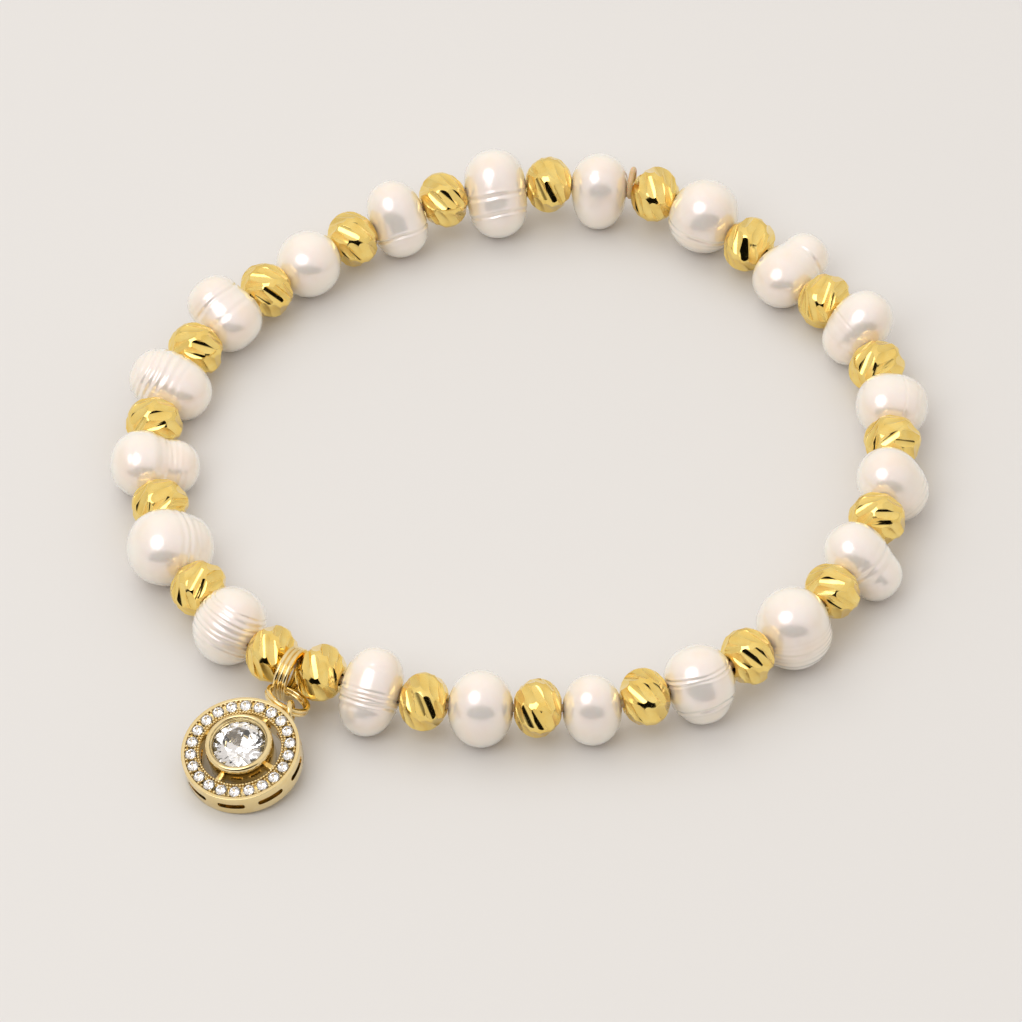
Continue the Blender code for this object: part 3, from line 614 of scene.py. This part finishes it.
# %% [markdown]
# The elastic is a round extruded cord. Hardly any of it shows, but it holds everything, so it is a real
# tube through all the joints. A curve with a round bevel is the simplest way to make one, and it is
# turned into a mesh at the end. Beside one bead, a small tied loop of it stands out.

# %% Elastic and its loop
ELASTIC_DIAMETER = 0.7 * MM
KNOT_DIAMETER = 2.9 * MM
KNOT_WIRE = 0.5 * MM

curve = bpy.data.curves.new("elastic", "CURVE")
curve.dimensions = "3D"
curve.bevel_depth = ELASTIC_DIAMETER / 2
curve.bevel_resolution = 4
spline = curve.splines.new("POLY")
spline.points.add(len(JOINTS) - 1)
for point, joint in zip(spline.points, JOINTS):
    point.co = (*joint, 1.0)
spline.use_cyclic_u = True
carrier = bpy.data.objects.new("carrier", curve)
bpy.context.scene.collection.objects.link(carrier)
bpy.context.view_layer.update()
tube = bpy.data.meshes.new_from_object(carrier.evaluated_get(bpy.context.evaluated_depsgraph_get()))
bpy.data.objects.remove(carrier)
tube.shade_smooth()
finished("elastic_tube", tube, elastic_cord, "elastic", "elastic")


def ring_matrix(node):
    """Middle and plane of a CAD ring, with Z across the ring, from the spread of its corners."""
    points = corner_points(node)
    middle = middle_of(points)
    spread = np.array([point - middle for point in points])
    axes = np.linalg.svd(spread, full_matrices=False)[2]
    across = Vector(axes[2])
    first = Vector(axes[0])
    return axes_matrix(first, across.cross(first), across, middle)


def wire_profile(outer_diameter, wire, steps=14):
    """Points round a round wire, at the right distance from the ring's middle."""
    mean = (outer_diameter - wire) / 2
    angles = [math.tau * step / steps for step in range(steps)]
    return [(mean + wire / 2 * math.cos(angle), wire / 2 * math.sin(angle)) for angle in angles]


knot = shaped_mesh(turned(wire_profile(KNOT_DIAMETER, KNOT_WIRE), sides=40, closed=True), "knot")
knot.transform(ring_matrix("elastic_knot"))
finished("elastic_loop", knot, elastic_cord, "elastic", "elastic_knot")
print("Elastic faces:", len(tube.polygons), "and loop faces:", len(knot.polygons))

# %% [markdown]
# Both rings of the charm are wound like small key rings. The jump ring on the elastic has three turns side
# by side, and the link ring two. The section of such a ring is a row of ovals that touch, spun round the
# ring's middle. Between two turns the section is still about half as thick as the wire.

# %% Jump ring and link ring
TURN_POINTS = 12
FLANK = 0.3


def wound_profile(outer_diameter, wire, turns, width):
    """A section of turns of wire side by side, as thick as the CAD wire."""
    mean = (outer_diameter - wire) / 2
    points = []
    for side in (1, -1):
        for number in range(turns):
            middle = side * width * ((number + 0.5) / turns - 0.5)
            for step in range(1, TURN_POINTS):
                angle = math.pi * step / TURN_POINTS
                across = middle - side * width / (2 * turns) * math.cos(angle)
                rise = FLANK + (1 - FLANK) * math.sin(angle)
                points.append((mean + side * wire / 2 * rise, across))
    return points


Ring = namedtuple("Ring", "node diameter wire turns width")
for ring in (Ring("jump_ring", 4.8 * MM, 0.7 * MM, 3, 1.2 * MM),
             Ring("link_ring", 4.05 * MM, 0.5 * MM, 2, 0.66 * MM)):
    profile = wound_profile(ring.diameter, ring.wire, ring.turns, ring.width)
    mesh = shaped_mesh(turned(profile, sides=64, closed=True), ring.node)
    mesh.transform(ring_matrix(ring.node))
    finished(f"wound_{ring.node}", mesh, cast_gold, "gold", ring.node)
    print(ring.node, "faces:", len(mesh.polygons))

# %% [markdown]
# The charm leans a little, because its bail is held up by the rings. Its own axes come from the CAD centre
# stone: the point of the stone lies on the charm's axis, and the tilt is known. Heights below are from
# the top face of the outer ring.

# %% The charm's place
CHARM_DIAMETER = 10.0 * MM
CHARM_THICKNESS = 2.2 * MM
CHARM_TILT = math.radians(13.1)
CHARM_RISES_TOWARDS = math.radians(52.5)
HALO_WIDTH = 1.55 * MM
CHANNEL_DEPTH = 0.3 * MM
BEZEL_RISE = 1.1 * MM
STONE_DIAMETER = 4.4 * MM
STONE_GIRDLE = 0.12 * MM
STONE_PAVILION = 1.75 * MM
STONE_SINK = 0.45 * MM
GIRDLE_HEIGHT = BEZEL_RISE - STONE_SINK - STONE_GIRDLE

hinge = Vector((-math.sin(CHARM_RISES_TOWARDS), math.cos(CHARM_RISES_TOWARDS), 0.0))
charm_turn = Matrix.Rotation(-CHARM_TILT, 4, hinge)
charm_up = charm_turn @ UP
stone_point = min(corner_points("charm_stone"), key=lambda point: point.dot(charm_up))
CHARM = Matrix.Translation(stone_point + charm_up * (STONE_PAVILION - GIRDLE_HEIGHT)) @ charm_turn
print("Charm's middle at", [round(value / MM, 2) for value in CHARM.translation], "mm")

# %% [markdown]
# The outer ring is a cast band. Its top has a plain rim outside, a sunk channel for the stones, and a low
# rim inside, and its wall has long slots with round ends. The band is turned from its section, then the
# slots and the seats of the stones are cut.

# %% Outer ring with slots and seats
STONES = 22
STONE_REACH = 4.17 * MM
STONE_START = math.radians(2.0)
STONE_HEIGHT = -0.02 * MM
SMALL_STONE = 1.0 * MM
RIM_WIDTH = 0.3 * MM
INNER_RIM_WIDTH = 0.1 * MM
INNER_RIM_DROP = 0.04 * MM
CHANNEL_SLOPE = 0.06 * MM
BAND_ROUNDING = 0.07 * MM
SLOTS = 9
SLOT_ANGLE = math.radians(27.0)
SLOT_START = math.radians(19.3)
SLOT_HEIGHT = 0.6 * MM
SLOT_NEAR = 3.2 * MM
SLOT_FAR = 5.2 * MM
SLOT_ROUNDING = SLOT_HEIGHT * 0.42
SEAT_LOW = SMALL_STONE * 0.25
SEAT_TOP = SMALL_STONE * 0.56
SEAT_DEPTH = 0.6 * MM
SEAT_MIDDLE = -0.2 * MM


def halo_blank():
    """The band, with its channel."""
    outer = CHARM_DIAMETER / 2
    inner = outer - HALO_WIDTH
    profile = [
        (outer, -CHARM_THICKNESS), (outer, 0.0), (outer - RIM_WIDTH, 0.0),
        (outer - RIM_WIDTH - CHANNEL_SLOPE, -CHANNEL_DEPTH),
        (inner + INNER_RIM_WIDTH + CHANNEL_SLOPE, -CHANNEL_DEPTH),
        (inner + INNER_RIM_WIDTH, -INNER_RIM_DROP), (inner, -INNER_RIM_DROP), (inner, -CHARM_THICKNESS),
    ]
    band = turned(profile, sides=144, closed=True)
    return shaped_mesh(softened(band, BAND_ROUNDING, segments=3), "halo")


def slot_tools():
    """One curved block for each slot. The edges that point outwards at its ends are rounded."""
    bm = bmesh.new()
    low = -(CHARM_THICKNESS + SLOT_HEIGHT) / 2
    high = low + SLOT_HEIGHT
    corners = [(SLOT_FAR, low), (SLOT_FAR, high), (SLOT_NEAR, high), (SLOT_NEAR, low)]
    for slot in range(SLOTS):
        start = SLOT_START - SLOT_ANGLE / 2 + math.tau * slot / SLOTS
        turn = Matrix.Rotation(start, 3, "Z")
        face = bm.faces.new([bm.verts.new(turn @ Vector((x, 0.0, z))) for x, z in corners])
        bmesh.ops.spin(bm, geom=[face, *face.edges, *face.verts], cent=(0, 0, 0), axis=UP,
                       angle=SLOT_ANGLE, steps=8, use_duplicate=False)
    bm.normal_update()
    ends = []
    for edge in bm.edges:
        run = edge.verts[0].co - edge.verts[1].co
        radial = abs(run.normalized().dot(edge.verts[0].co.normalized())) > 0.9
        if radial and edge.calc_face_angle(0.0) > math.radians(60):
            ends.append(edge)
    bmesh.ops.bevel(bm, geom=ends, offset=SLOT_ROUNDING, segments=5, profile=0.5,
                    affect="EDGES", material=-1)
    return shaped_mesh(bm, "slots")


def around_charm(count, reach, height, start=0.0):
    """Matrices spaced evenly round the charm's axis, with X pointing outwards."""
    for step in range(count):
        turn = Matrix.Rotation(start + math.tau * step / count, 4, "Z")
        yield turn @ Matrix.Translation((reach, 0.0, height))


def seat_tools():
    """One drill for each stone's seat."""
    bm = bmesh.new()
    for matrix in around_charm(STONES, STONE_REACH, SEAT_MIDDLE, STONE_START):
        bmesh.ops.create_cone(bm, cap_ends=True, segments=20, radius1=SEAT_LOW, radius2=SEAT_TOP,
                              depth=SEAT_DEPTH, matrix=matrix)
    return shaped_mesh(bm, "seats")


halo = cut(cut(halo_blank(), slot_tools()), seat_tools())
halo.transform(CHARM)
finished("charm_band", halo, cast_gold, "gold", "charm_frame")
print("Band faces:", len(halo.polygons))

# %% [markdown]
# Small stones are held by grains: short posts whose round tops are pushed over the stones' edges. Two
# grains sit outside and two inside each gap between stones, and a row of grains without posts, called
# milgrain, runs along the inner edge of the ring.

# %% Grains and milgrain
def add_grains(bm, count, reach, height, radius, start, post=0.0):
    """A ring of small balls, each on a post that reaches down if it has a length."""
    for matrix in around_charm(count, reach, height, start):
        bmesh.ops.create_icosphere(bm, subdivisions=2, radius=radius, matrix=matrix)
        if post > 0.0:
            lowered = matrix @ Matrix.Translation((0.0, 0.0, -post / 2))
            bmesh.ops.create_cone(bm, cap_ends=True, segments=12, radius1=radius, radius2=radius,
                                  depth=post, matrix=lowered)


GrainRow = namedtuple("GrainRow", "reach radius spread")
GRAIN_ROWS = [
    GrainRow(STONE_REACH + 0.4 * MM, 0.12 * MM, 0.28),
    GrainRow(STONE_REACH - 0.36 * MM, 0.11 * MM, 0.22),
]
MILGRAINS = 84
MILGRAIN_REACH = 3.55 * MM
MILGRAIN = 0.12 * MM

grains = bmesh.new()
half_gap = math.pi / STONES
first_gap = STONE_START + half_gap
for row in GRAIN_ROWS:
    for side in (-1, 1):
        start = first_gap + side * row.spread * half_gap
        add_grains(grains, STONES, row.reach, STONE_HEIGHT, row.radius, start, CHANNEL_DEPTH)
add_grains(grains, MILGRAINS, MILGRAIN_REACH, 0.0, MILGRAIN, 0.0)
grain_mesh = shaped_mesh(grains, "grains")
grain_mesh.transform(CHARM)
finished("charm_grains", grain_mesh, cast_gold, "gold")
print("Grain faces:", len(grain_mesh.polygons))

# %% [markdown]
# The centre stone sits in a bezel: a thin wall of metal rubbed over the stone's edge. Its section has a
# rounded rim, a small step inside it, and a ledge under the stone. The section's points are radius and
# height in millimetres. Four short bars join the bezel to the ring.

# %% Bezel and spokes
SPOKES = 4
SPOKE_START = math.radians(54.0)
SPOKE_REACH = 3.15 * MM
SPOKE_HEIGHT = -0.8 * MM
SPOKE_SIZE = (0.85 * MM, 0.5 * MM, 1.0 * MM)
SPOKE_ROUNDING = 0.09 * MM
BEZEL_ROUNDING = 0.04 * MM

bezel_profile = [
    (2.85, -1.7), (2.85, 0.72), (2.81, 0.9), (2.72, 1.03), (2.6, 1.09), (2.48, 1.07), (2.41, 0.99),
    (2.38, 0.9), (2.33, 0.87), (2.28, 0.84), (2.24, 0.76), (2.24, 0.5), (1.95, 0.1), (1.78, -0.1),
    (1.78, -1.7),
]
bezel_profile = [(radius * MM, height * MM) for radius, height in bezel_profile]
bezel_ring = softened(turned(bezel_profile, sides=96, closed=True), BEZEL_ROUNDING)
bezel = shaped_mesh(bezel_ring, "bezel", sharp_angle=50.0)
bezel.transform(CHARM)
finished("charm_bezel", bezel, cast_gold, "gold")

spokes = bmesh.new()
for matrix in around_charm(SPOKES, SPOKE_REACH, SPOKE_HEIGHT, SPOKE_START):
    size = Matrix.Diagonal((*SPOKE_SIZE, 1.0))
    bmesh.ops.create_cube(spokes, size=1.0, matrix=matrix @ size)
spoke_mesh = shaped_mesh(softened(spokes, SPOKE_ROUNDING, segments=3), "spokes")
spoke_mesh.transform(CHARM)
finished("charm_spokes", spoke_mesh, cast_gold, "gold")
print("Bezel faces:", len(bezel.polygons), "and spoke faces:", len(spoke_mesh.polygons))

# %% [markdown]
# The bail is a small cast eye on the ring's edge, which the link ring passes through. It sinks a little
# into the wall of the ring, so that the two are one casting. Its place and twist repeat the CAD model's.

# %% Bail
BAIL_AZIMUTH = math.radians(43.6)
BAIL_DIAMETER = 2.0 * MM
BAIL_WIRE = 0.5 * MM
BAIL_SINK = BAIL_WIRE / 4
BAIL_TWIST = math.radians(42.0)

reach = CHARM_DIAMETER / 2 + (BAIL_DIAMETER - BAIL_WIRE) / 2 - BAIL_SINK
bail = shaped_mesh(turned(wire_profile(BAIL_DIAMETER, BAIL_WIRE), sides=40, closed=True), "bail")
bail_turn = Matrix.Rotation(BAIL_TWIST, 4, "Z") @ Matrix.Rotation(math.pi / 2, 4, "X")
for matrix in around_charm(1, reach, -CHARM_THICKNESS / 2, BAIL_AZIMUTH):
    bail.transform(CHARM @ matrix @ bail_turn)
finished("charm_bail", bail, cast_gold, "gold")
print("Bail faces:", len(bail.polygons))

# %% [markdown]
# A round brilliant has a flat table, a crown of kites and triangles, a thin girdle, and a pavilion that
# comes to a point. All its facets are flat, so the stone is the convex hull of a few rings of points, and
# it is shaded flat. Blender finds the facets. Each ring below has its number of points, its radius, its
# height, and how far it is turned, in parts of the step between two points. The second ring holds the tips
# of the crown's triangles, and the fifth holds the tips of the long facets below.

# %% Cut stones
StoneSize = namedtuple("StoneSize", "diameter table crown girdle pavilion")
CENTRE_STONE = StoneSize(STONE_DIAMETER, 2.6 * MM, 0.6 * MM, STONE_GIRDLE, STONE_PAVILION)
PAVE_STONE = StoneSize(0.98 * MM, 0.54 * MM, 0.16 * MM, 0.03 * MM, 0.4 * MM)
CROWN_TIP_REACH = 1.02
CROWN_TIP_HEIGHT = 0.56
LOWER_TIP_REACH = 0.24
LOWER_TIP_DEPTH = 0.79


def brilliant(bm, matrix, size):
    """Add one round brilliant, its girdle's lower edge at the matrix's height."""
    half = size.diameter / 2
    halfway = (size.table / 2 + half) / 2
    rings = [
        (8, size.table / 2, size.girdle + size.crown, 0.0),
        (8, halfway * CROWN_TIP_REACH, size.girdle + size.crown * CROWN_TIP_HEIGHT, 0.5),
        (16, half, size.girdle, 0.0),
        (16, half, 0.0, 0.0),
        (8, half * LOWER_TIP_REACH, -size.pavilion * LOWER_TIP_DEPTH, 0.5),
        (1, 0.0, -size.pavilion, 0.0),
    ]
    stone = bmesh.new()
    for sides, radius, height, shift in rings:
        for side in range(sides):
            angle = math.tau * (side + shift) / sides
            stone.verts.new((radius * math.cos(angle), radius * math.sin(angle), height))
    bmesh.ops.convex_hull(stone, input=stone.verts[:], use_existing_faces=False)
    bmesh.ops.dissolve_limit(stone, angle_limit=math.radians(0.5), verts=stone.verts[:],
                             edges=stone.edges[:])
    bmesh.ops.recalc_face_normals(stone, faces=stone.faces[:])
    stone.transform(matrix)
    holder = bpy.data.meshes.new("stone")
    stone.to_mesh(holder)
    stone.free()
    bm.from_mesh(holder)
    bpy.data.meshes.remove(holder)


def stone_piece(name, bm, *nodes):
    """A piece of flat-shaded stones."""
    mesh = bpy.data.meshes.new(name)
    bm.to_mesh(mesh)
    bm.free()
    mesh.transform(CHARM)
    mesh.shade_flat()
    finished(name, mesh, zirconia, "stone", *nodes)
    print(name, "facets:", len(mesh.polygons))


centre = bmesh.new()
brilliant(centre, Matrix.Translation((0.0, 0.0, GIRDLE_HEIGHT)), CENTRE_STONE)
stone_piece("centre_stone", centre, "charm_stone")

small = bmesh.new()
for matrix in around_charm(STONES, STONE_REACH, STONE_HEIGHT, STONE_START):
    brilliant(small, matrix, PAVE_STONE)
stone_piece("pave_stones", small)

# %% [markdown]
# The bracelet lies on a plain pale floor. The floor runs far past the picture on all sides, so that no edge
# of it shows, and it is matt, so that it only takes soft shadows.

# %% Floor
FLOOR_REACH = 3.0

floor_mesh = bpy.data.meshes.new("floor")
bm = bmesh.new()
bmesh.ops.create_grid(bm, x_segments=1, y_segments=1, size=FLOOR_REACH)
bm.to_mesh(floor_mesh)
bm.free()
floor = bpy.data.objects.new("floor", floor_mesh)
bpy.context.scene.collection.objects.link(floor)

paper, tree, shader = new_material("Matt pale paper")
shader.inputs["Base Color"].default_value = colour("DEDDDC")
shader.inputs["Roughness"].default_value = 0.6
floor_mesh.materials.append(paper)
print("Floor is", round(floor.dimensions.x, 1), "m wide")

# %% [markdown]
# The studio has soft light from all sides, brighter overhead. One lamp high on the left in front gives each
# pearl its one highlight. One on the left behind gives soft shadows, and glossy rays don't see it, so that
# it adds no second highlight. Shiny beads need something dark to mirror as well, or they look flat, so the
# surroundings are dark in one flat patch, low behind the camera.

# %% Light
DARK_ELEVATION = math.radians(4.0)
DARK_FLATTENING = 1.8
DARK_REACH = math.radians(42.0)
DARK_EDGE = math.radians(8.0)
DARK_STRENGTH = 0.006
DOME_LOW = 0.69
DOME_HIGH = 0.93
LAMP_DISTANCE = 0.8
LAMP_COLOUR = "FAFCFF"

world = bpy.data.worlds.new("studio")
bpy.context.scene.world = world
world.use_nodes = True
tree = world.node_tree
backdrop = tree.nodes["Background"]
sky = add_node(tree, "ShaderNodeTexCoord").outputs["Generated"]
height = add_node(tree, "ShaderNodeSeparateXYZ", inputs={0: sky}).outputs["Z"]
dome = add_node(tree, "ShaderNodeMapRange",
                inputs={"Value": height, "From Min": 0.0, "From Max": 1.0, "To Min": DOME_LOW,
                        "To Max": DOME_HIGH})
flattening = (1.0, 1.0, DARK_FLATTENING)
flat = add_node(tree, "ShaderNodeVectorMath", {"operation": "MULTIPLY"}, {0: sky, 1: flattening})
unit = add_node(tree, "ShaderNodeVectorMath", {"operation": "NORMALIZE"}, {0: flat.outputs["Vector"]})
dark_rise = DARK_FLATTENING * math.sin(DARK_ELEVATION)
dark_way = Vector((0.0, -math.cos(DARK_ELEVATION), dark_rise)).normalized()
towards = add_node(tree, "ShaderNodeVectorMath", {"operation": "DOT_PRODUCT"},
                   {0: unit.outputs["Vector"], 1: dark_way})
patch = add_node(tree, "ShaderNodeMapRange", {"interpolation_type": "SMOOTHSTEP"},
                 {"Value": towards.outputs["Value"], "From Min": math.cos(DARK_REACH + DARK_EDGE),
                  "From Max": math.cos(DARK_REACH), "To Min": 1.0, "To Max": DARK_STRENGTH})
strength = add_node(tree, "ShaderNodeMath", {"operation": "MULTIPLY"},
                    {0: dome.outputs["Result"], 1: patch.outputs["Result"]})
tree.links.new(strength.outputs["Value"], backdrop.inputs["Strength"])
backdrop.inputs["Color"].default_value = colour("FFF8F0")


def add_softbox(name, azimuth, elevation, size, power):
    """A round lamp that points at the bracelet. Azimuth 0 is towards the camera, and 90 to the right."""
    turn = math.radians(azimuth)
    rise = math.radians(elevation)
    way = Vector((math.sin(turn) * math.cos(rise), -math.cos(turn) * math.cos(rise), math.sin(rise)))
    data = bpy.data.lights.new(name, "AREA")
    data.shape = "DISK"
    data.size = size
    data.energy = power
    data.color = colour(LAMP_COLOUR)[:3]
    lamp = bpy.data.objects.new(name, data)
    bpy.context.scene.collection.objects.link(lamp)
    lamp.location = way * LAMP_DISTANCE
    lamp.rotation_euler = way.to_track_quat("Z", "Y").to_euler()
    return lamp


add_softbox("main_softbox", azimuth=-42.0, elevation=55.0, size=0.62, power=1.6)
rear = add_softbox("rear_softbox", azimuth=-145.0, elevation=58.0, size=0.7, power=1.3)
rear.visible_glossy = False
bpy.context.scene.view_settings.view_transform = "Standard"
